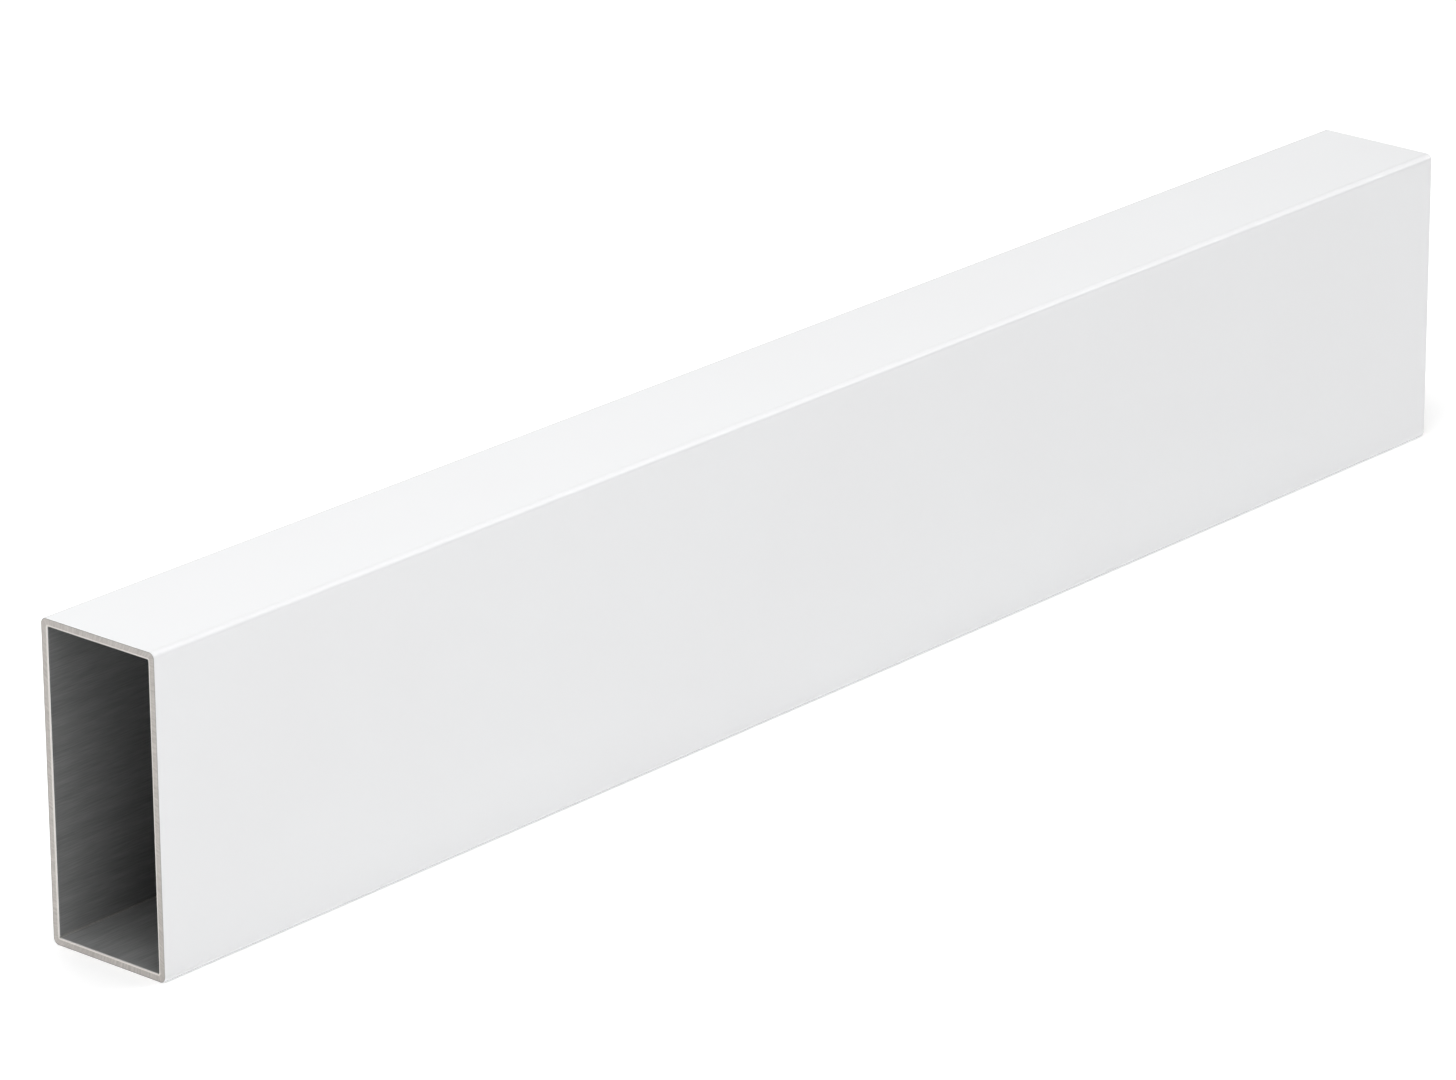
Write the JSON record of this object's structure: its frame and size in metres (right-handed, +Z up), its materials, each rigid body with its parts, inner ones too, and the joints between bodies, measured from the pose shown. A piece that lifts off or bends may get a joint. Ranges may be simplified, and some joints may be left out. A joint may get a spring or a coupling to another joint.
{
  "type": "pergola purlin",
  "caption": "Straight rectangular aluminium box-section purlin, white powder coated outside, with square saw-cut bare metal ends and a plain open bore.",
  "frame": {"origin": "centre of the narrow bottom face that the purlin stands on, half way along its length", "axes": "+X along the length, +Y across the narrow width of the section, +Z up the wide faces"},
  "size_m": [0.6, 0.045, 0.1],
  "materials": {
    "white_powder_coat": "smooth satin white polyester powder coat on extruded aluminium, bare at the saw cuts and in the bore"
  },
  "bodies": {
    "root": {"purlin_tube": "white_powder_coat"}
  },
  "joints": []
}
